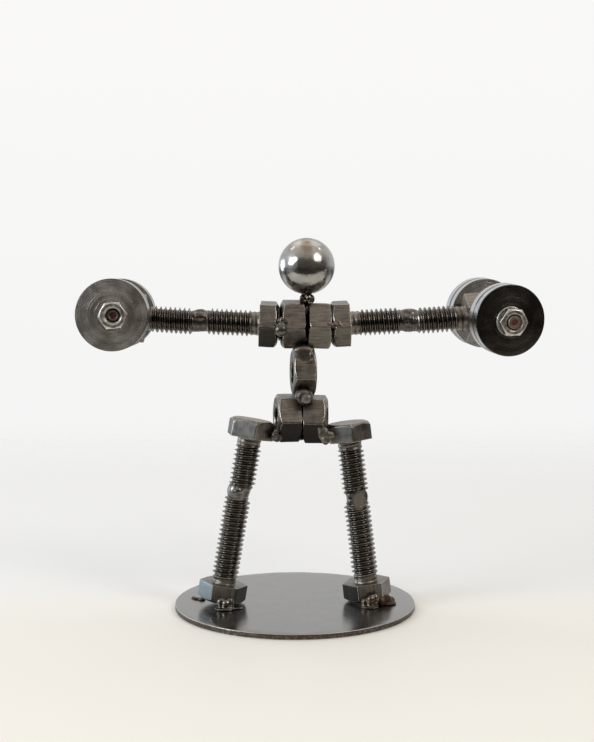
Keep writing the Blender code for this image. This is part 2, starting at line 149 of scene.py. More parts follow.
# Lights: the way from the chest, distance, width and height in metres, strength and colour.
CHEST_HEIGHT = 85
WINDOWS = {
    "window_left": ((-0.90, -0.38, 0.30), 1.2, 0.42, 0.40, 10.0, (0.90, 0.95, 1.0)),
    "window_left_high": ((-0.72, -0.53, 0.45), 1.2, 0.30, 0.26, 7.0, (0.92, 0.96, 1.0)),
    "window_left_rear": ((-0.87, 0.45, 0.02), 1.2, 0.45, 0.44, 5.0, (0.72, 0.87, 1.0)),
    "window_right": ((0.66, -0.50, 0.56), 1.3, 0.38, 0.40, 8.5, (1.0, 0.97, 0.92)),
    "ceiling_panel": ((0.0, 0.45, 0.9), 1.3, 1.4, 0.9, 0.7, (1.0, 0.97, 0.94)),
    "lamp_left": ((-0.58, 0.30, 0.76), 1.3, 0.05, 0.05, 40.0, (1.0, 0.95, 0.85)),
    "lamp_right": ((0.58, 0.20, 0.79), 1.3, 0.05, 0.05, 40.0, (1.0, 0.95, 0.85)),
}

# Seeds: the first of each group that counts up, and the plate's.
TRUNK_SEED = 20
PLATE_SEED = 40
SLEEVE_SEED = 20

# Each bolt: centre of the bearing face under its head, point of its shank, turn of the flats about
# the shank and length of the plain neck.
BOLTS = {
    "shin_bolt_left": ((-21.4, -3.0, 8.1), (-17.05, -2.4, 34.3), 5.6, 1.22),
    "shin_bolt_right": ((21.45, -0.3, 8.0), (18.5, -0.3, 32.2), 6.9, 1.49),
    "thigh_bolt_left": ((-13.5, -1.5, 51.9), (-16.1, -2.3, 36.8), 18.5, 1.99),
    "thigh_bolt_right": ((16.3, 0.0, 50.75), (18.25, -0.5, 34.6), 21.9, 1.94),
    "upper_arm_bolt_left": ((-10.5, 0.0, 85.8), (-26.4, 0.3, 86.55), 23.5, 1.99),
    "upper_arm_bolt_right": ((16.1, 0.0, 85.9), (31.7, 1.1, 86.65), 36.0, 2.46),
    "forearm_bolt_left": ((-44.75, 1.2, 87.3), (-29.9, 0.6, 86.4), -1.5, 1.45),
    "forearm_bolt_right": ((50.95, 2.6, 87.4), (36.1, 1.3, 86.5), -1.3, 2.51),
}

# Each nut: centre, turn about Z, roll about Y, turn of the flats about the bore, and the faces of
# its left and right ends as shares of the width across flats; a small face is a deep chamfer.
NUTS = {
    "pelvis_nut_left": ((-2.4, 0.0, 57.55), 9.6, 0.0, 25.3, 0.93, 1.06),
    "pelvis_nut_right": ((6.3, 0.0, 57.2), -4.9, 0.0, 25.3, 1.06, 0.93),
    "waist_nut": ((2.45, 0.0, 71.4), 7.0, 0.0, 19.0, 0.95, 0.95),
    "chest_nut_left": ((-0.85, 0.0, 85.7), 5.2, 0.0, 21.5, 0.93, 1.06),
    "chest_nut_right": ((7.2, 0.0, 85.2), 4.0, 2.0, 31.0, 1.06, 0.95),
}

# Each weight: centre between the discs, turn of its front towards +X, tilt of its front upwards,
# half the space between the inner discs, how far the screw sits off the centre, how far it stands
# out of the front nut, turns of the two nuts.
WEIGHTS = {
    "left": ((-53.2, 1.3, 88.6), 0.6, 1.9, 6.8, (0.65, -0.1), -1.4, -25.0, 8.0),
    "right": ((59.75, 4.3, 87.9), 12.3, -2.6, 7.4, (-0.3, -0.1), 0.25, 27.0, -5.0),
}

# Each weld: melted lumps as (centre, half-sizes).
WELDS = {
    "neck_weld": (
        ((3.4, -0.3, 94.2), (1.6, 1.6, 2.3)), ((3.2, -0.6, 92.5), (1.9, 2.0, 1.0)),
        ((2.1, -1.5, 93.2), (0.8, 0.9, 1.3)), ((4.0, -2.5, 93.4), (0.9, 0.8, 1.3)),
        ((5.0, -1.2, 93.2), (0.9, 1.2, 1.3)),
        ((4.4, -4.4, 92.2), (0.65, 1.6, 0.6))),
    "chest_weld_left": (
        ((-4.1, -7.0, 84.4), (2.0, 1.7, 2.0)), ((-5.4, -6.9, 86.7), (0.9, 0.9, 1.1)),
        ((-3.8, -7.1, 87.2), (0.85, 0.9, 1.1)), ((-2.7, -6.9, 86.5), (0.7, 0.7, 0.9)),
        ((-4.7, -2.0, 85.7), (0.55, 5.0, 5.0)), ((-4.8, 2.5, 85.7), (0.55, 3.2, 5.4))),
    "chest_weld_right": (
        ((10.2, -6.9, 85.8), (1.3, 0.6, 0.7)), ((11.6, -6.8, 85.7), (1.1, 0.8, 1.0)),
        ((13.1, -6.8, 85.6), (1.1, 0.6, 0.9)), ((14.6, -6.6, 86.0), (1.0, 0.5, 0.5)),
        ((12.4, -6.6, 86.7), (1.3, 0.5, 0.6))),
    "waist_weld": (
        ((2.6, -5.0, 78.1), (3.3, 1.5, 1.8)), ((2.9, -5.7, 76.7), (2.9, 0.8, 2.6)),
        ((4.9, -6.1, 76.6), (0.7, 0.6, 1.5)), ((0.9, -5.3, 77.0), (1.2, 0.8, 2.2))),
    "belly_weld": (
        ((2.6, -6.1, 64.5), (2.75, 2.05, 2.8)), ((3.3, -7.75, 64.1), (1.7, 0.7, 1.6))),
    "chest_weld_rear": (
        ((2.7, 6.6, 85.4), (1.5, 1.2, 6.9)), ((2.8, 7.2, 89.6), (1.3, 0.9, 1.7)),
        ((2.6, 7.3, 86.6), (1.4, 0.9, 1.8)), ((2.8, 7.3, 83.4), (1.3, 0.9, 1.8)),
        ((2.6, 7.0, 80.6), (1.2, 0.9, 1.5)),
        ((2.7, 4.0, 91.3), (1.4, 3.5, 0.8)), ((2.7, 4.0, 79.7), (1.4, 3.5, 0.8))),
    "pelvis_weld_rear": (
        ((1.6, 5.0, 57.1), (2.4, 1.6, 6.7)), ((1.5, 5.9, 61.0), (2.0, 1.0, 1.7)),
        ((1.7, 6.2, 58.2), (2.1, 1.0, 1.8)), ((1.5, 6.1, 55.2), (2.0, 1.0, 1.8)),
        ((1.7, 5.5, 52.6), (1.8, 1.0, 1.5)), ((1.8, 0.5, 51.7), (1.5, 5.0, 0.8))),
    "hip_weld_left": (
        ((-5.9, -5.9, 53.4), (1.2, 1.2, 1.0)), ((-4.7, -6.2, 52.6), (1.1, 1.0, 0.9)),
        ((-5.4, -5.6, 51.9), (1.2, 1.2, 0.9)), ((-6.6, -5.4, 52.3), (0.8, 0.9, 0.9))),
    "hip_weld_right": (
        ((7.5, -6.5, 55.7), (1.0, 0.6, 2.1)), ((8.4, -6.6, 53.7), (1.7, 0.8, 2.1)),
        ((9.0, -6.8, 51.9), (1.3, 0.9, 1.6)), ((10.5, -6.4, 53.2), (1.5, 0.9, 1.1))),
    "foot_weld_left_front": (
        ((-21.9, -9.9, 3.5), (1.4, 1.3, 1.9)), ((-20.4, -10.3, 3.1), (1.4, 1.4, 1.8)),
        ((-19.2, -10.0, 3.5), (1.2, 1.2, 1.9)), ((-20.8, -10.6, 1.9), (3.0, 1.8, 0.5)),
        ((-17.4, -9.6, 1.85), (2.2, 0.9, 0.4))),
    "foot_weld_left_side": (
        ((-28.3, 0.7, 1.8), (1.2, 1.0, 0.55)), ((-29.8, 1.6, 1.75), (1.3, 0.8, 0.42)),
        ((-31.0, 3.0, 1.7), (0.8, 1.2, 0.35))),
    "foot_weld_right_front": (
        ((21.0, -7.8, 3.0), (1.3, 1.2, 1.6)), ((22.6, -8.2, 3.6), (1.4, 1.4, 2.1)),
        ((23.9, -7.8, 4.0), (1.2, 1.2, 2.0)), ((22.2, -8.6, 1.9), (2.7, 1.6, 0.5))),
    "foot_weld_right_side": (
        ((25.9, -5.4, 2.9), (1.4, 1.5, 1.7)), ((27.6, -4.0, 2.8), (1.6, 1.5, 1.7)),
        ((29.0, -2.2, 2.3), (1.2, 1.6, 1.1)), ((28.0, -3.8, 1.9), (2.6, 2.4, 0.45))),
}

# Each weld between two shanks: its bolts, radius, and lumps as (place along from the first shank's
# point to the second's, turn about the shank from the front, distance out, half-sizes).
SLEEVES = {
    "knee_weld_left": (
        "thigh_bolt_left", "shin_bolt_left", 3.15,
        ((0.45, 62, 1.5, (2.4, 2.7, 3.3)), (0.4, 20, 1.5, (2.2, 2.0, 2.2)))),
    "knee_weld_right": (
        "thigh_bolt_right", "shin_bolt_right", 2.95,
        ((0.55, -12, 2.85, (0.9, 1.9, 4.2)), (0.4, -70, 2.1, (1.6, 1.7, 2.6)),
         (0.9, 45, 2.3, (1.2, 1.2, 1.4)), (0.0, 40, 2.4, (1.1, 1.1, 1.3)))),
    "elbow_weld_left": (
        "upper_arm_bolt_left", "forearm_bolt_left", 3.2,
        ((0.5, 36, 2.7, (1.35, 1.5, 2.4)), (0.5, 85, 2.3, (1.4, 1.5, 2.4)),
         (0.5, 180, 2.3, (1.4, 1.5, 2.0)))),
    "elbow_weld_right": (
        "upper_arm_bolt_right", "forearm_bolt_right", 3.25,
        ((0.5, -82, 2.3, (1.4, 2.0, 3.2)), (0.35, -20, 2.4, (1.0, 1.3, 1.7)),
         (0.7, 15, 2.3, (1.0, 1.3, 1.7)), (0.5, 85, 2.0, (1.4, 1.7, 2.6)))),
}
SLEEVE_CORES = 9  # lumps in the core of a sleeve
SLEEVE_CORE_HALF = 0.9  # half the length of one of them
SLEEVE_REACH = (-0.25, 1.25)  # where the core starts and ends between the two points

WELD_GRAIN = 0.16  # size of the cells that lumps are fused with
WELD_SMOOTHING = (0.6, 11)  # strength and rounds
BEAD_RIPPLE = 0.03
SLEEVE_RIPPLE = 0.035

# Tone and roughness of each weld, and of those that the table leaves out.
DARK_MELT = (0.10, 0.09, 0.08)
GREY_MELT = (0.13, 0.12, 0.11)
PLAIN_MELT = (DARK_MELT, 0.24)
WELD_LOOKS = {
    "neck_weld": ((0.13, 0.11, 0.09), 0.16),
    "chest_weld_left": (GREY_MELT, 0.30),
    "chest_weld_right": ((0.17, 0.135, 0.115), 0.42),
    "waist_weld": ((0.16, 0.14, 0.12), 0.32),
    "belly_weld": ((0.095, 0.085, 0.075), 0.22),
    "hip_weld_left": (DARK_MELT, 0.26),
    "hip_weld_right": ((0.16, 0.145, 0.125), 0.42),
    "knee_weld_left": ((0.18, 0.17, 0.16), 0.22),
    "knee_weld_right": (DARK_MELT, 0.34),
    "elbow_weld_left": (DARK_MELT, 0.28),
    "elbow_weld_right": (GREY_MELT, 0.24),
    "foot_weld_left_front": (GREY_MELT, 0.14),
    "foot_weld_left_side": ((0.06, 0.05, 0.045), 0.40),
    "foot_weld_right_front": ((0.13, 0.105, 0.085), 0.15),
    "foot_weld_right_side": ((0.085, 0.060, 0.047), 0.48),
}

# Paler patches of a weld: centre, radius, how much taller than wide, and tone.
WELD_PATCHES = {
    "belly_weld": ((3.3, -8.4, 64.1), 1.6, 1.0, (0.27, 0.24, 0.215)),
    "knee_weld_right": ((19.3, -4.0, 33.0), 1.9, 1.9, (0.21, 0.19, 0.165)),
}

# Flats with painted shade, painted reflections and painted light: how far round each piece, in
# degrees from its first flat, and the tone.
# A dark tone painted on single flats: shade on the lower flats of the heads and nuts, and a dark
# reflection on foot flats turned towards the other leg.
SHADE_TONE = (0.040, 0.038, 0.038)
SHADED_FLATS = {
    # The left foot's bluish left flat is a painted reflection of the bluish window on the left.
    "shin_bolt_left": ((60, SHADE_TONE), (-60, (0.17, 0.205, 0.225))),
    "shin_bolt_right": ((-60, SHADE_TONE),),
    # The hip heads' lighter front flats: partly their own mottled scale, partly painted window
    # light.
    "thigh_bolt_left": ((0, (0.27, 0.275, 0.27)),),
    "thigh_bolt_right": ((0, (0.22, 0.222, 0.215)),),
    "upper_arm_bolt_left": ((-60, SHADE_TONE),),
    "pelvis_nut_left": ((-60, SHADE_TONE),),
    "pelvis_nut_right": ((-60, SHADE_TONE),),
}


# ---- placing ----

def facing(point, axis, turn):
    """A frame at a point: Z along the axis, X turned towards the front of the figure."""
    along = Vector(axis).normalized()
    front = Vector((0.0, -1.0, 0.0))
    front = (front - along * front.dot(along)).normalized()
    side = along.cross(front)
    basis = Matrix((front, side, along)).transposed().to_4x4()
    return Matrix.Translation(point) @ basis @ Matrix.Rotation(math.radians(turn), 4, "Z")


def bolt_frame(name):
    """Where a bolt stands: origin on its bearing face, Z along the shank."""
    under_head, tip, turn, _ = BOLTS[name]
    return facing(under_head, Vector(tip) - Vector(under_head), turn)


def nut_frame(name):
    """Where a nut stands: origin at its centre, Z along the bore, pointing left."""
    centre, yaw, roll, turn = NUTS[name][:4]
    yaw = math.radians(yaw)
    roll = math.radians(roll)
    axis = (-math.cos(yaw) * math.cos(roll), -math.sin(yaw) * math.cos(roll), math.sin(roll))
    return facing(centre, axis, turn)


def weight_frame(side):
    """Where a hand weight stands: origin between the discs, Z to the front and Y up."""
    centre, yaw, tilt = WEIGHTS[side][:3]
    yaw = math.radians(yaw)
    tilt = math.radians(tilt)
    level = math.cos(tilt)
    front = Vector((math.sin(yaw) * level, -math.cos(yaw) * level, math.sin(tilt)))
    across = Vector((0.0, 0.0, 1.0)).cross(front).normalized()
    basis = Matrix((across, front.cross(across), front)).transposed().to_4x4()
    return Matrix.Translation(centre) @ basis


def in_metres(place):
    """The same frame with its origin turned from millimetres to metres."""
    moved = place.copy()
    moved.translation = place.translation * MM
    return moved


def spot_in_metres(point):
    """Three millimetre coordinates in metres."""
    return tuple(MM * part for part in point)


# ---- meshes ----

def ringed_mesh(rings, closed, wear):
    """A mesh from rings of points in millimetres, with a worn value for each point."""
    count, columns = rings.shape[:2]
    corners = np.arange(count * columns).reshape(count, columns)
    after = np.roll(corners, -1, axis=1)
    above, above_after = np.roll(corners, -1, axis=0), np.roll(after, -1, axis=0)
    quads = np.stack((corners, after, above_after, above), axis=-1)
    if closed:
        faces = quads.reshape(-1, 4).tolist()
    else:
        faces = quads[:-1].reshape(-1, 4).tolist()
        faces += [corners[0][::-1].tolist(), corners[-1].tolist()]
    mesh = bpy.data.meshes.new("mesh")
    mesh.from_pydata((rings.reshape(-1, 3) * MM).tolist(), [], faces)
    worn = mesh.attributes.new("worn", "FLOAT", "POINT")
    worn.data.foreach_set("value", np.asarray(wear, np.float32).reshape(-1))
    return mesh


def eased(profile, ease, fill):
    """Round a profile's corners, with fill points on each side: points of shape (n, columns, 2)."""
    most = 0.42  # share of a side that one rounding may take
    out = [profile[0]]
    wear = [0.0]
    for before, corner, after in zip(profile, profile[1:], profile[2:]):
        back = before - corner
        ahead = after - corner
        back_length = np.linalg.norm(back, axis=-1, keepdims=True)
        ahead_length = np.linalg.norm(ahead, axis=-1, keepdims=True)
        reach = np.minimum(ease, most * np.minimum(back_length, ahead_length))
        first = corner + back / back_length * reach
        last = corner + ahead / ahead_length * reach
        for step in range(1, fill + 1):
            out.append(out[-1] + (first - out[-1]) / (fill + 2 - step))
            wear.append(0.0)
        for share in (0.0, 0.25, 0.5, 0.75, 1.0):
            start, middle, end = (1 - share) ** 2, 2 * share * (1 - share), share ** 2
            out.append(start * first + middle * corner + end * last)
            wear.append(4 * share * (1 - share))
    out.append(profile[-1])
    wear.append(0.0)
    return np.array(out), np.array(wear)


def hex_outline(across_flats, corner):
    """Angles, radii and corner marks round a hexagon with eased corners, a flat facing +X."""
    flat_steps, corner_steps = 10, 6
    flat = across_flats / 2
    straight = (flat - corner) * SLOPE
    spots = []
    for side in range(6):
        turn = math.radians(60 * side)
        for step in range(flat_steps):
            offset = straight * (2 * step / flat_steps - 1)
            spots.append((turn + math.atan2(offset, flat), math.hypot(offset, flat), 0.0))
        for step in range(corner_steps):
            swing = math.radians(60 * step / corner_steps)
            across = flat - corner + corner * math.cos(swing)
            up = straight + corner * math.sin(swing)
            mark = math.sin(3 * swing)
            spots.append((turn + math.atan2(up, across), math.hypot(up, across), mark))
    return (np.array(column) for column in zip(*spots))


def profile_rows(rows, columns):
    """A profile of (radius, height) rows, each number or array, spread over all columns."""
    spread = (np.broadcast_arrays(radius, height, np.zeros(columns)) for radius, height in rows)
    return np.array([np.stack(pair, axis=-1) for *pair, _ in spread], float)


def round_angles(columns):
    """Even angles round the Z axis."""
    return 2 * math.pi * np.arange(columns) / columns


def spun(profile, angles):
    """Stand profile points of shape (points, columns, 2) round the Z axis."""
    radius, height = profile[..., 0], profile[..., 1]
    return np.stack((radius * np.cos(angles), radius * np.sin(angles), height), axis=-1)


def roughened(rings, seed, dents):
    """Hand-worn unevenness: push points about by smooth noise, each seed from its own stretch."""
    depth, size = dents
    flat = rings.reshape(-1, 3)
    shift = Vector((7.3 * seed, -3.1 * seed, 5.7 * seed))
    moved = [noise.noise_vector(Vector(point) / size + shift) for point in flat]
    return (flat + depth * np.array(moved)).reshape(rings.shape)


def turned_rings(rows, columns, ease, fill, seed, dents):
    """The rings of a piece turned about Z from (radius, height) rows, and their worn values."""
    profile, wear = eased(profile_rows(rows, columns), ease, fill)
    rings = roughened(spun(profile, round_angles(columns)), seed, dents)
    return rings, np.repeat(wear[:, None], columns, axis=1)


def head_mesh(seed):
    """A bolt head from its chamfered top at -Z to its bearing face at the origin."""
    angles, radii, corners = hex_outline(BOLT_FLATS, CORNER)
    face = BOLT_FLATS / 2 * BOLT_FACE
    rows = [
        (HUB, -BOLT_HEAD), (face, -BOLT_HEAD), (radii, -BOLT_HEAD + (radii - face) * SLOPE),
        (radii, 0.0), (HUB, 0.0)]
    profile, wear = eased(profile_rows(rows, len(angles)), EASE, 4)
    rings = roughened(spun(profile, angles), seed, HEX_DENTS)
    corner_wear = np.where(profile[..., 0] > face, corners[None, :], 0.0)
    return ringed_mesh(rings, False, np.maximum(wear[:, None], corner_wear))


def thread_depth_share(phase):
    """How much of the thread's depth stands at a place in its pitch, both from 0 to 1."""
    places = [place for place, _ in THREAD_FORM] + [1.0]
    shares = [share for _, share in THREAD_FORM] + [0.0]
    return np.interp(phase % 1.0, places, shares)


def shank_points(length, neck, seed):
    """Points and worn values of a shank, in rows that climb one pitch in a turn."""
    first = math.floor((-HEAD_SINK - neck) / PITCH) - 1
    last = math.ceil((length - neck) / PITCH) + 2
    places = np.array([place for place, _ in THREAD_FORM])
    shares = np.tile([share for _, share in THREAD_FORM], last - first)
    rows = (np.arange(first, last)[:, None] + places[None, :]).reshape(-1)
    columns = np.arange(THREAD_COLUMNS)
    along = neck + PITCH * (rows[:, None] + columns[None, :] / THREAD_COLUMNS)
    along = np.clip(along, -HEAD_SINK, length)
    grown = np.clip((along - neck) / PITCH, NECK_MARKS, 1.0)
    full = THREAD_ROOT / 2 + THREAD_DEPTH * shares[:, None]
    radius = NECK_DIAMETER / 2 + (full - NECK_DIAMETER / 2) * grown
    left = (length - along) / (POINT_PITCHES * PITCH)
    radius = np.minimum(radius, THREAD_ROOT / 2 + THREAD_DEPTH * left)
    radius = radius + NECK_FILLET * np.clip(1 - along / NECK_FILLET_LENGTH, 0.0, 1.0) ** 2
    angles = round_angles(THREAD_COLUMNS)
    points = np.stack((radius * np.cos(angles), radius * np.sin(angles), along), axis=-1)
    inside = (along > -HEAD_SINK) & (along < length)
    points = np.where(inside[..., None], roughened(points, seed, THREAD_DENTS), points)
    # Thread roots get -1, which the steel paints as shade; crests get up to 0.8 as wear.
    wear = grown * np.interp(shares, (0.0, 0.25, 0.95, 1.0), (-1.0, -0.55, 0.3, 0.8))[:, None]
    return points, wear


def shank_mesh(length, neck, seed):
    """A filleted neck, then a helical thread to a chamfered point, from inside the head to +Z."""
    points, wear = shank_points(length, neck, seed)
    steps = len(THREAD_FORM)  # after a full turn a row meets the one this far on
    bm = bmesh.new()
    layer = bm.verts.layers.float.new("worn")
    grid = []
    for row_points, row_wear in zip(points * MM, wear):
        row = []
        for point, worn in zip(row_points, row_wear):
            vert = bm.verts.new(point)
            vert[layer] = worn
            row.append(vert)
        grid.append(row)
    for row in range(len(grid) - steps - 1):
        low = grid[row] + [grid[row + steps][0]]
        high = grid[row + 1] + [grid[row + steps + 1][0]]
        for column in range(THREAD_COLUMNS):
            bm.faces.new((low[column], low[column + 1], high[column + 1], high[column]))
    bmesh.ops.remove_doubles(bm, verts=bm.verts, dist=1e-6)
    bmesh.ops.dissolve_degenerate(bm, edges=bm.edges, dist=1e-7)
    loose = [vert for vert in bm.verts if not vert.link_faces]
    bmesh.ops.delete(bm, geom=loose, context="VERTS")
    bmesh.ops.holes_fill(bm, edges=[edge for edge in bm.edges if edge.is_boundary])
    return mesh_from(bm)


def mesh_from(bm):
    """Turn a bmesh into a mesh and free it."""
    bmesh.ops.recalc_face_normals(bm, faces=bm.faces)
    mesh = bpy.data.meshes.new("mesh")
    bm.to_mesh(mesh)
    bm.free()
    return mesh


def joined(meshes):
    """Several meshes in one."""
    bm = bmesh.new()
    for mesh in meshes:
        bm.from_mesh(mesh)
    return mesh_from(bm)


def bored_mesh(across_flats, height, shares, bore, mouth, thread, ease, seed):
    """A hex nut centred on the origin, chamfered at both ends and threaded along Z."""
    angles, radii, corners = hex_outline(across_flats, CORNER * ease / EASE)
    half = height / 2
    low, high = (across_flats / 2 * share for share in shares)
    high_chamfer = np.maximum(radii - high, SMALLEST_CHAMFER) * SLOPE
    low_chamfer = np.maximum(radii - low, SMALLEST_CHAMFER) * SLOPE
    rows = [
        (mouth / 2, half), (np.minimum(high, radii), half), (radii, half - high_chamfer),
        (radii, low_chamfer - half), (np.minimum(low, radii), -half), (mouth / 2, -half)]
    outside, wear = eased(profile_rows(rows, len(angles)), ease, 4)
    corner_wear = np.where(outside[..., 0] > across_flats / 2, corners[None, :], 0.0)
    wear = np.maximum(wear[:, None], corner_wear)
    # On the zinc nuts this paints the mouths as a pale highlight.
    wear[0] = wear[-1] = 0.6  # the bore's mouths
    heights = np.linspace(-half, half, BORE_ROWS)[1:-1, None]
    share = thread_depth_share(heights / PITCH - angles[None, :] / (2 * math.pi))
    inward = half - np.abs(heights)
    wall = np.maximum(bore / 2 + thread * share, mouth / 2 - inward)
    inside = np.stack(np.broadcast_arrays(wall, heights), axis=-1)
    # Down the bore the worn value is -0.6, which the finishes paint as shade; on the countersink it
    # is 0.35, which the zinc paints as a highlight.
    bore_wear = np.where(inward < (mouth - bore) / 2, 0.35, -0.6)
    wear = np.concatenate((wear, np.broadcast_to(bore_wear, wall.shape)))
    rings = roughened(spun(np.concatenate((outside, inside)), angles), seed, HEX_DENTS)
    return ringed_mesh(rings, True, wear)


def disc_mesh(radius, thickness, hole, ease, seed):
    """A flat disc along +Z from the origin, with a hole and eased edges."""
    middle = thickness / 2
    rows = [
        (hole, middle), (hole, thickness), (radius, thickness), (radius, 0.0), (hole, 0.0),
        (hole, middle * 0.98)]  # the last row stops just short of the first, which it joins
    rings, wear = turned_rings(rows, DISC_COLUMNS, ease, 6, seed, DISC_DENTS)
    return ringed_mesh(rings, True, wear)


def plate_mesh():
    """The round base plate, standing on the plane z = 0."""
    edge = PLATE_RADIUS - PLATE_INSET
    rows = [(HUB, PLATE_THICKNESS), (edge, PLATE_THICKNESS), (edge, 0.0), (HUB, 0.0)]
    rings, wear = turned_rings(rows, PLATE_COLUMNS, PLATE_EASE, 12, PLATE_SEED, PLATE_DENTS)
    rings[..., 2] = np.clip(rings[..., 2], 0.0, PLATE_THICKNESS)
    return ringed_mesh(rings, False, wear)


def ball_mesh():
    """The head: a bearing ball with a tiny flat high on its front."""
    tilts = np.linspace(0.02, math.pi - 0.02, BALL_ROWS)
    profile = np.stack((BALL_RADIUS * np.sin(tilts), BALL_RADIUS * np.cos(tilts)), axis=-1)
    profile = np.repeat(profile[:, None], BALL_COLUMNS, axis=1)
    rings = spun(profile, round_angles(BALL_COLUMNS))
    way = np.array(BALL_FLAT_WAY)
    over = np.clip(rings @ way - (BALL_RADIUS - BALL_FLAT_DEPTH), 0.0, None)
    rings = rings - over[..., None] * way
    return ringed_mesh(rings, False, np.zeros(rings.shape[:2]))


def screw_mesh(back, front):
    """The small screw through a weight, along Z, with a dished end."""
    rows = [
        (0.1, front - SCREW_DISH), (0.9, front - SCREW_DISH), (1.2, front - 0.02),
        (SCREW_RADIUS - 0.35, front), (SCREW_RADIUS, front - 0.4), (SCREW_RADIUS, back),
        (0.1, back)]
    rings, wear = turned_rings(rows, SCREW_COLUMNS, 0.12, 3, SCREW_SEED, SCREW_DENTS)
    return ringed_mesh(rings, False, wear)


def in_scene(name, data):
    """A new object, put in the scene."""
    thing = bpy.data.objects.new(name, data)
    bpy.context.scene.collection.objects.link(thing)
    return thing


def evaluated_mesh(thing):
    """The mesh of an object with its modifiers applied; the object is removed."""
    bpy.context.view_layer.update()
    depsgraph = bpy.context.evaluated_depsgraph_get()
    mesh = bpy.data.meshes.new_from_object(thing.evaluated_get(depsgraph))
    bpy.data.objects.remove(thing)
    return mesh


def fused_mesh(lumps, seed, ripple):
    """Melted lumps run together: each lump is a frame and half-sizes, all in millimetres."""
    bm = bmesh.new()
    for place, half_sizes in lumps:
        stretch = Matrix.Diagonal((*half_sizes, 1.0))
        bmesh.ops.create_icosphere(bm, subdivisions=3, radius=1.0, matrix=place @ stretch)
    thing = in_scene("melt", mesh_from(bm))
    remesh = thing.modifiers.new("Remesh", "REMESH")
    remesh.mode = "VOXEL"
    remesh.voxel_size = WELD_GRAIN
    smooth = thing.modifiers.new("Smooth", "SMOOTH")
    smooth.factor, smooth.iterations = WELD_SMOOTHING
    mesh = evaluated_mesh(thing)
    shift = Vector((3.7 * seed, 9.1, -2.3 * seed))
    normals = [vert.normal.copy() for vert in mesh.vertices]
    for vert, normal in zip(mesh.vertices, normals):
        spot = vert.co + shift
        height = noise.noise(spot / 1.1) + 0.5 * noise.noise(spot / 0.45)
        pit = max(0.0, noise.noise(spot / 0.35 + shift) - 0.35)
        vert.co = (vert.co + normal * (ripple * height - 0.5 * pit * ripple / 0.12)) * MM
    mesh.attributes.new("worn", "FLOAT", "POINT")
    return mesh


def bead_lumps(name):
    """The lumps of a bead, each upright at its own centre."""
    return [(Matrix.Translation(centre), half_sizes) for centre, half_sizes in WELDS[name]]


def sleeve_lumps(name):
    """The lumps round a weld between two shanks, with a core that closes the gap."""
    first, second, radius, lumps = SLEEVES[name]
    start = Vector(BOLTS[first][1])
    span = Vector(BOLTS[second][1]) - start
    shank = bolt_frame(first).col[2].to_3d()
    begin, end = SLEEVE_REACH
    placed = []
    for step in range(SLEEVE_CORES):
        share = begin + (end - begin) * step / (SLEEVE_CORES - 1)
        core = facing(start + span * share, shank, 0.0)
        placed.append((core, (radius, radius, SLEEVE_CORE_HALF)))
    for share, turn, out, half_sizes in lumps:
        at_shank = facing(start + span * share, shank, turn)
        placed.append((at_shank @ Matrix.Translation((out, 0.0, 0.0)), half_sizes))
    return placed


# ---- finishes ----

class Wire:
    """A shader socket that works in sums: each operator adds a Math node."""

    def __init__(self, finish, socket):
        self.finish = finish
        self.socket = socket

    def maths(self, operation, first, second):
        """The result of a Math node on two values or wires."""
        return self.finish.node("Math", {"operation": operation}, {0: first, 1: second})

    def __add__(self, other):
        return self.maths("ADD", self, other)

    def __radd__(self, other):
        return self.maths("ADD", other, self)

    def __sub__(self, other):
        return self.maths("SUBTRACT", self, other)

    def __rsub__(self, other):
        return self.maths("SUBTRACT", other, self)

    def __mul__(self, other):
        return self.maths("MULTIPLY", self, other)

    def __rmul__(self, other):
        return self.maths("MULTIPLY", other, self)


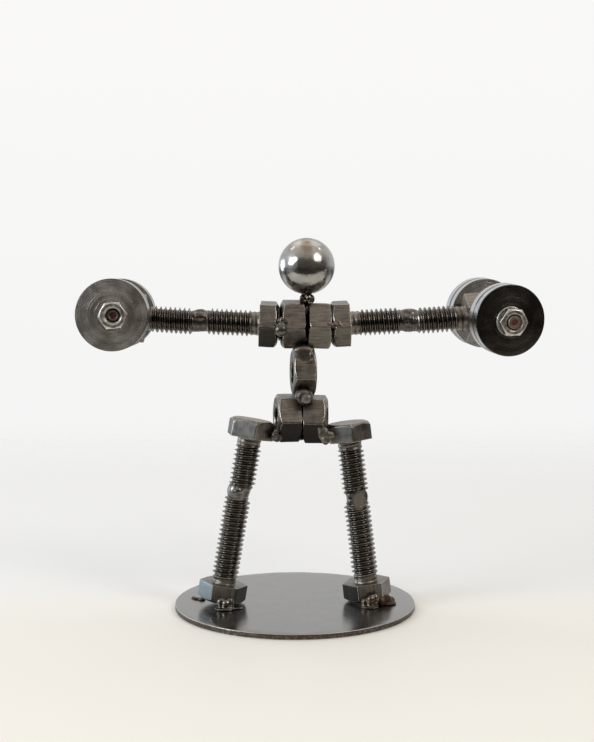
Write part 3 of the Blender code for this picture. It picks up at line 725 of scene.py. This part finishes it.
class Shading:
    """A node tree, and one way to add any node to it."""

    def __init__(self, tree):
        self.tree = tree

    def node(self, kind, settings=None, inputs=None, output=0):
        """Add a shader node: settings first, then the values or wires of its sockets."""
        node = self.tree.nodes.new("ShaderNode" + kind)
        for key, value in (settings or {}).items():
            setattr(node, key, value)
        for key, value in (inputs or {}).items():
            if isinstance(value, Wire):
                self.tree.links.new(value.socket, node.inputs[key])
            else:
                node.inputs[key].default_value = value
        return Wire(self, node.outputs[output])

    def vector(self, operation, first, second, output=0):
        """The result of a Vector Math node on two vectors or wires."""
        return self.node("VectorMath", {"operation": operation}, {0: first, 1: second}, output)

    def place(self):
        """Where a point is on its piece, in metres."""
        return self.node("TexCoord", output="Object")

    def scaled(self, place, amounts):
        """A place stretched along each axis."""
        return self.vector("MULTIPLY", place, amounts)

    def axis(self, place, letter):
        """One coordinate of a place."""
        return self.node("SeparateXYZ", None, {0: place}, letter)

    def distance(self, place, centre):
        """How far a place is from a centre."""
        return self.vector("DISTANCE", place, centre, "Value")

    def from_axis(self, place):
        """How far a place is from the Z axis."""
        level = self.scaled(place, (1.0, 1.0, 0.0))
        return self.node("VectorMath", {"operation": "LENGTH"}, {0: level}, "Value")

    def grain(self, place, scale, detail=3.0, roughness=0.55):
        """Soft noise from 0 to 1, with scale in features to the metre."""
        inputs = {"Vector": place, "Scale": scale, "Detail": detail, "Roughness": roughness}
        return self.node("TexNoise", None, inputs)

    def rings(self, out, scale, detail):
        """Noise that only changes with the distance from the axis, as a lathe leaves it."""
        inputs = {"W": out, "Scale": scale, "Detail": detail}
        return self.node("TexNoise", {"noise_dimensions": "1D"}, inputs)

    def ramp(self, value, low, high, start=0.0, end=1.0):
        """A value eased from start to end as it goes from low to high."""
        return self.node(
            "MapRange", {"interpolation_type": "SMOOTHSTEP"},
            {"Value": value, "From Min": low, "From Max": high, "To Min": start, "To Max": end})

    def mixed(self, share, first, second):
        """A blend of two colours."""
        return self.node(
            "Mix", {"data_type": "RGBA"}, {0: share, 6: colour_of(first), 7: colour_of(second)}, 2)

    def worn(self):
        """How worn the mesh is here, from -1 in a hollow to 1 on an edge; the finishes paint shade
        below zero.
        """
        return self.node("Attribute", {"attribute_name": "worn"}, None, "Fac")


def colour_of(colour):
    """A wire as it is, or three numbers as a colour with alpha."""
    return colour if isinstance(colour, Wire) else (*colour, 1.0)


def shaded(tone, share):
    """A darker or lighter shade of a tone."""
    return tuple(min(1.0, share * part) for part in tone)


class Finish(Shading):
    """A material with a Principled shader."""

    def __init__(self, name):
        self.material = bpy.data.materials.new(name)
        self.material.use_nodes = True
        super().__init__(self.material.node_tree)
        self.shader = self.tree.nodes["Principled BSDF"]

    def use(self, **sockets):
        """Set the shader's sockets, each a value or a wire."""
        for name, value in sockets.items():
            socket = self.shader.inputs[name.replace("_", " ")]
            if isinstance(value, Wire):
                self.tree.links.new(value.socket, socket)
            else:
                socket.default_value = colour_of(value) if isinstance(value, tuple) else value
        return self.material

    def steel(self, colour, rough, relief, depth, metal=1.0):
        """The finished material: the relief tilts the normal by its height times the depth."""
        normal = self.node("Bump", None, {"Distance": depth, "Height": relief})
        return self.use(Base_Color=colour, Metallic=metal, Roughness=rough, Normal=normal)


def drawn_steel(name, tone, roughness, seed, flats):
    """Hex bar and bolt steel: lines along the axis, worn edges, painted shade in the hollows, and
    painted shade, reflection and light on single flats.
    """
    # Stain brown, the dark of the painted shade in the hollows, and bare steel.
    brown, painted_shade, bare = (0.085, 0.062, 0.042), (0.035, 0.030, 0.025), (0.52, 0.49, 0.45)
    finish = Finish("steel_" + name)
    place = finish.vector("ADD", finish.place(), (0.013 * seed, 0.007, 0))
    worn = finish.worn()
    lines = finish.grain(finish.scaled(place, (1.0, 1.0, 0.05)), 3800.0, 3.0, 0.6)
    clouds = finish.grain(place, 380.0)
    specks = finish.grain(place, 2400.0, 2.0)
    drawn = finish.ramp(lines * 0.55 + clouds * 0.45, 0.35, 0.65)
    base = finish.mixed(drawn, shaded(tone, 0.6), shaded(tone, 1.35))
    stained = finish.mixed(finish.ramp(clouds, 0.5, 0.72, 0.0, 0.5), base, brown)
    # Painted shade: thread roots and nut bores, where the worn value is below zero, are darkened.
    skin = finish.mixed(finish.ramp(worn, -0.8, 0.0, 0.6, 0.0), stained, painted_shade)
    edge = finish.ramp(worn + 0.6 * specks, 0.85, 1.4, 0.0, 0.6)
    # Single flats get painted shade, a painted reflection and painted light, mottled by the clouds.
    for degrees, flat_shading in SHADED_FLATS.get(name, ()):
        turn = math.radians(degrees)
        way = (math.cos(turn), math.sin(turn), 0.0)
        reach = finish.vector("DOT_PRODUCT", finish.place(), way, "Value")
        on_flat = finish.ramp(reach, MM * (flats / 2 - 0.5), MM * (flats / 2 - 0.1))
        patchy = finish.ramp(clouds, 0.2, 0.5, 0.55, 0.85)
        skin = finish.mixed(on_flat * patchy, skin, flat_shading)
    colour = finish.mixed(edge, skin, bare)
    thread = finish.ramp(worn * worn, 0.0, 0.04)
    rough = finish.ramp(clouds, 0.3, 0.7, roughness - 0.06, roughness + 0.08) - 0.16 * thread
    relief = 0.5 * lines + 0.35 * specks + 0.15 * clouds
    return finish.steel(colour, rough, relief, 0.00005)


def polished_ball():
    """Bearing steel gone dull: a rusty fleck on top with a brown run below it, smears and pits."""
    dull, clear = (0.34, 0.33, 0.315), (0.43, 0.42, 0.405)
    brown, pitted, rusty = (0.20, 0.155, 0.115), (0.17, 0.14, 0.11), (0.15, 0.09, 0.06)
    finish = Finish("ball_steel")
    place = finish.place()
    clouds = finish.grain(place, 260.0, 4.0)
    dents = finish.grain(place, 420.0, 2.0)
    pits = finish.grain(place, 2600.0, 2.0)
    fleck = finish.distance(place, spot_in_metres((0.2, -4.3, 7.1)))
    rust = finish.ramp(fleck + 0.0016 * pits, 0.0009, 0.0020, 0.7, 0.0)
    across = finish.axis(place, "X")
    strip = finish.ramp(across * across, (0.3 * MM) ** 2, (2.2 * MM) ** 2, 1.0, 0.0)
    height = finish.axis(place, "Z")
    run = strip * finish.ramp(height, -2.0 * MM, 4.5 * MM, 0.0, 0.8)
    run = run * finish.ramp(clouds, 0.3, 0.6)
    base = finish.mixed(finish.ramp(clouds, 0.35, 0.7), dull, clear)
    smeared = finish.mixed(run, base, brown)
    speckled = finish.mixed(finish.ramp(pits, 0.64, 0.74, 0.0, 0.6), smeared, pitted)
    colour = finish.mixed(rust, speckled, rusty)
    rough = finish.ramp(clouds, 0.3, 0.75, 0.17, 0.27)
    return finish.steel(colour, rough, dents + 0.06 * pits, 0.00012)


def turned_steel(name, tone, rim_tone, roughness, relief):
    """A disc faced in a lathe: fine rings on the faces, a brighter rim with painted shade along its
    borders.
    """
    # The dark of the painted shade along the rim's borders.
    painted_shade = (0.05, 0.045, 0.04)
    finish = Finish(name)
    place = finish.place()
    out = finish.from_axis(place)
    rings = finish.rings(out, 5200.0, 3.0)
    bands = finish.rings(out, 420.0, 2.0)
    clouds = finish.grain(place, 220.0)
    scratches = finish.grain(finish.scaled(place, (1.0, 0.06, 1.0)), 5200.0, 2.0)
    bright = shaded(tone, 1.25)
    shade = finish.ramp(0.35 * rings + 0.35 * bands + 0.3 * clouds, 0.38, 0.62)
    face = finish.mixed(shade, shaded(tone, 0.72), bright)
    scored = finish.mixed(finish.ramp(scratches, 0.68, 0.8, 0.0, 0.35), face, bright)
    rim = finish.ramp(out, MM * (DISC_RADIUS - 0.32), MM * (DISC_RADIUS - 0.10))
    # Painted shade: the rim darkens towards both faces, standing for the shade in the gaps between
    # the stacked discs.
    up = finish.axis(place, "Z") - MM * DISC_THICKNESS / 2
    edge_shade = finish.ramp(up * up, (MM * 1.05) ** 2, (MM * 1.4) ** 2, 0.0, 0.85)
    wall = finish.mixed(finish.ramp(clouds, 0.45, 0.7, 0.0, 0.5), rim_tone, tone)
    colour = finish.mixed(rim, scored, finish.mixed(edge_shade, wall, painted_shade))
    rough = finish.ramp(clouds, 0.3, 0.7, roughness - 0.06, roughness + 0.08)
    return finish.steel(colour, rough, rings * 0.7 + bands * 0.3, relief)


def plate_steel():
    """Satin sheet steel: faint scuffs, brown heat stains at the feet, a rusty side, a worn rim."""
    dark, light, scuff = (0.215, 0.212, 0.205), (0.26, 0.257, 0.25), (0.4, 0.39, 0.37)
    burnt, bare = (0.12, 0.085, 0.06), (0.5, 0.47, 0.43)
    side_dark, side_light = (0.075, 0.062, 0.053), (0.20, 0.18, 0.16)
    finish = Finish("plate_steel")
    place = finish.place()
    worn = finish.worn()
    clouds = finish.grain(place, 60.0, 4.0)
    fine = finish.grain(place, 1500.0)
    scuffs = finish.grain(finish.scaled(place, (0.12, 1.0, 1.0)), 1800.0, 2.0)
    mottle = finish.ramp(clouds * 0.6 + fine * 0.4, 0.35, 0.65)
    base = finish.mixed(mottle, dark, light)
    scuffed = finish.mixed(finish.ramp(scuffs, 0.66, 0.8, 0.0, 0.3), base, scuff)
    heat = None
    for centre, near, far in HEAT_STAINS:
        away = finish.distance(place, spot_in_metres(centre))
        ring = finish.ramp(away + 0.004 * clouds, MM * near, MM * far, 0.75, 0.0)
        heat = ring if heat is None else heat.maths("MAXIMUM", heat, ring)
    stained = finish.mixed(heat, scuffed, burnt)
    rim = finish.ramp(worn + 0.8 * fine, 0.8, 1.35, 0.0, 0.8)
    out = finish.from_axis(place)
    side = finish.ramp(out, MM * (PLATE_RADIUS - 0.22), MM * (PLATE_RADIUS - 0.05))
    rusty = finish.mixed(finish.ramp(fine, 0.45, 0.75), side_dark, side_light)
    colour = finish.mixed(rim, finish.mixed(side, stained, rusty), bare)
    rough = finish.ramp(clouds, 0.3, 0.7, 0.19, 0.27) + 0.18 * side
    return finish.steel(colour, rough, fine, 0.00002)


def zinc_plate(name, tone):
    """Bright zinc plate with a brassy cast and dull spots, painted dark brown shade in the bore,
    and painted highlights on its edges.
    """
    brown, pale = (0.06, 0.04, 0.025), (0.90, 0.87, 0.83)
    finish = Finish(name)
    place = finish.place()
    worn = finish.worn()
    clouds = finish.grain(place, 700.0)
    base = finish.mixed(finish.ramp(clouds, 0.38, 0.62), shaded(tone, 0.6), tone)
    # Painted shade: the bore, where the worn value is below zero, turns dark brown.
    hollow = finish.mixed(finish.ramp(worn, -0.5, -0.1, 1.0, 0.0), base, brown)
    # Painted highlight: the edges, the countersink and the bore's mouths turn pale.
    colour = finish.mixed(finish.ramp(worn, 0.2, 0.8, 0.0, 0.8), hollow, pale)
    rough = finish.ramp(clouds, 0.3, 0.7, 0.28, 0.42)
    return finish.steel(colour, rough, clouds, 0.00005)


def rusted_steel():
    """A dished screw end gone rusty in the middle, with a grey-brown rim."""
    dark_rust, red_rust = (0.045, 0.018, 0.010), (0.15, 0.055, 0.035)
    worn_rim = (0.20, 0.165, 0.135)
    finish = Finish("rusty_steel")
    place = finish.place()
    clouds = finish.grain(place, 1400.0, 4.0)
    out = finish.from_axis(place)
    rust = finish.mixed(finish.ramp(clouds, 0.35, 0.65), dark_rust, red_rust)
    colour = finish.mixed(finish.ramp(out, 1.0 * MM, 1.25 * MM), rust, worn_rim)
    metal = finish.ramp(out, 1.0 * MM, 1.25 * MM, 0.35, 0.9)
    return finish.steel(colour, 0.45, clouds, 0.0001, metal)


def melted_steel(name, tone, roughness, seed, patch):
    """Weld metal: a smooth skin in cloudy shades, with dark specks and perhaps a paler patch."""
    speck = (0.03, 0.025, 0.02)
    finish = Finish(name)
    place = finish.vector("ADD", finish.place(), (0.0031 * seed, 0.0, 0.002))
    clouds = finish.grain(place, 650.0)
    fine = finish.grain(place, 3600.0)
    skin = finish.ramp(clouds * 0.85 + fine * 0.15, 0.38, 0.62)
    base = finish.mixed(skin, shaded(tone, 0.6), shaded(tone, 1.35))
    colour = finish.mixed(finish.ramp(fine, 0.66, 0.76, 0.0, 0.5), base, speck)
    rough = finish.ramp(clouds, 0.35, 0.65, roughness + 0.10, roughness)
    if patch:
        (x, y, z), radius, tall, paler = patch
        squeezed = finish.scaled(finish.place(), (1.0, 1.0, 1 / tall))
        away = finish.distance(squeezed, (MM * x, MM * y, MM * z / tall)) + 0.0014 * clouds
        inside = finish.ramp(away, MM * radius, MM * (radius + 0.7), 0.9, 0.0)
        colour = finish.mixed(inside, colour, paler)
        rough = rough + 0.25 * inside
    return finish.steel(colour, rough, fine, 0.00003)


# ---- pieces ----

def add_piece(node, mesh, place, material):
    """A finished piece that stands for one CAD node."""
    mesh.name = node + "_finished"
    mesh.materials.clear()
    mesh.materials.append(material)
    mesh.shade_smooth()
    mesh.set_sharp_from_angle(angle=math.radians(SHARP_DEG))
    piece = in_scene(node + "_finished", mesh)
    piece.matrix_world = in_metres(place)
    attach(piece, "root")
    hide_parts(node)


def add_limbs():
    """The eight bolts of the arms and legs."""
    for number, (name, (under_head, tip, _, neck)) in enumerate(BOLTS.items()):
        length = (Vector(tip) - Vector(under_head)).length
        mesh = joined((head_mesh(number), shank_mesh(length, neck, number)))
        steel = drawn_steel(name, *BOLT_LOOK, number, BOLT_FLATS)
        add_piece(name, mesh, bolt_frame(name), steel)


def add_trunk():
    """The five large nuts of the trunk and the ball on top."""
    for number, (name, (*_, left_face, right_face)) in enumerate(NUTS.items(), TRUNK_SEED):
        mesh = bored_mesh(
            NUT_FLATS, NUT_HEIGHT, (right_face, left_face), NUT_BORE, NUT_MOUTH, NUT_THREAD, EASE,
            number)
        steel = drawn_steel(name, *NUT_LOOK, number, NUT_FLATS)
        add_piece(name, mesh, nut_frame(name), steel)
    place = Matrix.Translation(BALL_CENTRE)
    add_piece("head_ball", ball_mesh(), place, polished_ball())


def add_weight(side, disc_steel, front_steel, zinc, rust):
    """The discs, nuts and screw of one hand weight; the foremost disc has its own steel."""
    place = weight_frame(side)
    inner, off_centre, stand_out, front_turn, rear_turn = WEIGHTS[side][3:]
    screw_place = place @ Matrix.Translation((*off_centre, 0.0))
    about = Matrix.Rotation(math.pi, 4, "Y")
    for end, turn in (("front", front_turn), ("rear", rear_turn)):
        outward = place if end == "front" else place @ about
        screw_outward = screw_place if end == "front" else screw_place @ about
        reach = inner
        for layer in ("inner", "outer"):
            disc = disc_mesh(DISC_RADIUS, DISC_THICKNESS, DISC_HOLE, EASE, DISC_SEEDS[side][end])
            stand = outward @ Matrix.Translation((0.0, 0.0, reach))
            foremost = (end, layer) == ("front", "outer")
            steel = front_steel if foremost else disc_steel
            add_piece(f"weight_disc_{side}_{end}_{layer}", disc, stand, steel)
            reach += DISC_THICKNESS + GAP
        if side == "right" and end == "front":
            washer = disc_mesh(
                WASHER_RADIUS, WASHER_THICKNESS, WASHER_HOLE, WASHER_EASE, WASHER_SEED)
            stand = screw_outward @ Matrix.Translation((0.0, 0.0, reach))
            add_piece(f"weight_washer_{side}", washer, stand, zinc)
            reach += WASHER_THICKNESS + GAP
        nut = bored_mesh(
            SMALL_FLATS, SMALL_HEIGHT, (SMALL_FACE, SMALL_FACE), SMALL_BORE, SMALL_MOUTH,
            SMALL_THREAD, SMALL_EASE, SMALL_SEED)
        middle = Matrix.Translation((0.0, 0.0, reach + SMALL_HEIGHT / 2))
        stand = screw_outward @ middle @ Matrix.Rotation(math.radians(turn), 4, "Z")
        add_piece(f"weight_nut_{side}_{end}", nut, stand, zinc)
        reach += SMALL_HEIGHT
        if end == "front":
            screw_front = reach + stand_out
    screw = screw_mesh(-reach, screw_front)
    add_piece(f"weight_screw_{side}", screw, screw_place, rust)


def add_weights():
    """Both hand weights: grey discs on the left, bright ones with a black front on the right."""
    zinc = zinc_plate("zinc_steel", (0.62, 0.60, 0.54))
    rust = rusted_steel()
    grey = turned_steel("disc_steel", *GREY_DISC)
    bright = turned_steel("disc_steel_bright", *BRIGHT_DISC)
    black = turned_steel("disc_steel_dark", *BLACK_DISC)
    add_weight("left", grey, grey, zinc, rust)
    add_weight("right", bright, black, zinc, rust)


def add_welds():
    """The melted beads between the pieces."""
    beads = [(name, bead_lumps(name), BEAD_RIPPLE) for name in WELDS]
    sleeves = [(name, sleeve_lumps(name), SLEEVE_RIPPLE) for name in SLEEVES]
    numbered = [*enumerate(beads), *enumerate(sleeves, SLEEVE_SEED)]
    for number, (name, lumps, ripple) in numbered:
        tone, roughness = WELD_LOOKS.get(name, PLAIN_MELT)
        steel = melted_steel("melted_" + name, tone, roughness, number, WELD_PATCHES.get(name))
        mesh = fused_mesh(lumps, number, ripple)
        add_piece(name, mesh, Matrix.Identity(4), steel)


# ---- studio ----

def add_floor():
    """A pale table top under the figure, cut off in front and fading out behind and beside it."""
    width, depth, front = 900, 620, 145
    near_cream, far_cream = (0.775, 0.760, 0.720), (0.745, 0.76, 0.775)
    mesh = bpy.data.meshes.new("floor_top")
    bm = bmesh.new()
    bmesh.ops.create_grid(bm, x_segments=1, y_segments=1, size=0.5 * MM)
    bmesh.ops.scale(bm, vec=(width, depth, 1.0), verts=bm.verts)
    bm.to_mesh(mesh)
    bm.free()
    cream = Finish("floor_cream")
    place = cream.place()
    aside = cream.axis(place, "X")
    away = cream.axis(place, "Y")
    sides = cream.ramp(aside * aside, 0.12 ** 2, 0.40 ** 2, 1.0, 0.0)
    behind = cream.ramp(away, -0.02, 0.28, 1.0, 0.0)
    tone = cream.mixed(cream.ramp(away, -0.19, -0.12), near_cream, far_cream)
    mesh.materials.append(cream.use(Base_Color=tone, Roughness=0.6, Alpha=sides * behind))
    floor = in_scene("floor_top", mesh)
    floor.location = (0.0, (depth / 2 - front) * MM, -0.01 * MM)


def add_window(name, way, distance, width, height, strength, colour):
    """A soft area light that way from the chest, turned towards it."""
    data = bpy.data.lights.new(name, "AREA")
    data.shape = "RECTANGLE"
    data.size = width
    data.size_y = height
    data.energy = strength * width * height * math.pi
    data.color = colour
    light = in_scene(name, data)
    outward = Vector(way).normalized()
    light.location = Vector((0.0, 0.0, CHEST_HEIGHT * MM)) + outward * distance
    light.rotation_euler = outward.to_track_quat("Z", "Y").to_euler()
    light.visible_camera = False


def add_surroundings():
    """A white room behind the figure and a dim one before it, for the steel to mirror."""
    dim, white, sky = (0.13, 0.115, 0.10), (0.85, 0.85, 0.85), (0.70, 0.76, 0.80)
    ground, warm = (0.045, 0.04, 0.035), (0.85, 0.80, 0.73)
    low_paper, high_paper = (0.912, 0.912, 0.908), (0.950, 0.945, 0.928)
    world = bpy.data.worlds.new("studio")
    bpy.context.scene.world = world
    world.use_nodes = True
    room = Shading(world.node_tree)
    way = room.node("TexCoord", output="Generated")
    across = room.axis(way, "X")
    depth = room.axis(way, "Y")
    up = room.axis(way, "Z")
    wall = room.mixed(room.ramp(depth - across * 0.2, -0.45, 0.35), dim, white)
    left = room.mixed(room.ramp(0 - across, 0.55, 0.95, 0.0, 0.6), wall, sky)
    low = room.mixed(room.ramp(up, -0.16, 0.02, 0.9, 0.0), left, ground)
    ceiling = room.mixed(room.ramp(up, 0.35, 0.85), low, warm)
    seen = room.node("LightPath", output="Is Camera Ray")
    paper = room.mixed(room.ramp(up, -0.12, 0.16), low_paper, high_paper)
    shade = room.mixed(seen, ceiling, paper)
    background = world.node_tree.nodes["Background"]
    world.node_tree.links.new(shade.socket, background.inputs["Color"])
    background.inputs["Strength"].default_value = 1.0


def add_camera():
    """The camera, level with the head and looking a little down on the figure."""
    data = bpy.data.cameras.new("camera")
    data.sensor_fit = "HORIZONTAL"
    data.sensor_width = CAMERA_SENSOR
    data.lens = CAMERA_LENS
    data.clip_start = CAMERA_NEAR
    camera = in_scene("camera", data)
    camera.location = Vector(CAMERA_PLACE) * MM
    camera.rotation_euler = (math.radians(90 - CAMERA_DROP_DEG), 0.0, 0.0)
    bpy.context.scene.camera = camera


add_camera()
add_piece("base_plate", plate_mesh(), Matrix.Identity(4), plate_steel())
add_limbs()
add_trunk()
add_weights()
add_welds()
add_floor()
add_surroundings()
for name, window in WINDOWS.items():
    add_window(name, *window)
bpy.context.scene.view_settings.view_transform = "Standard"
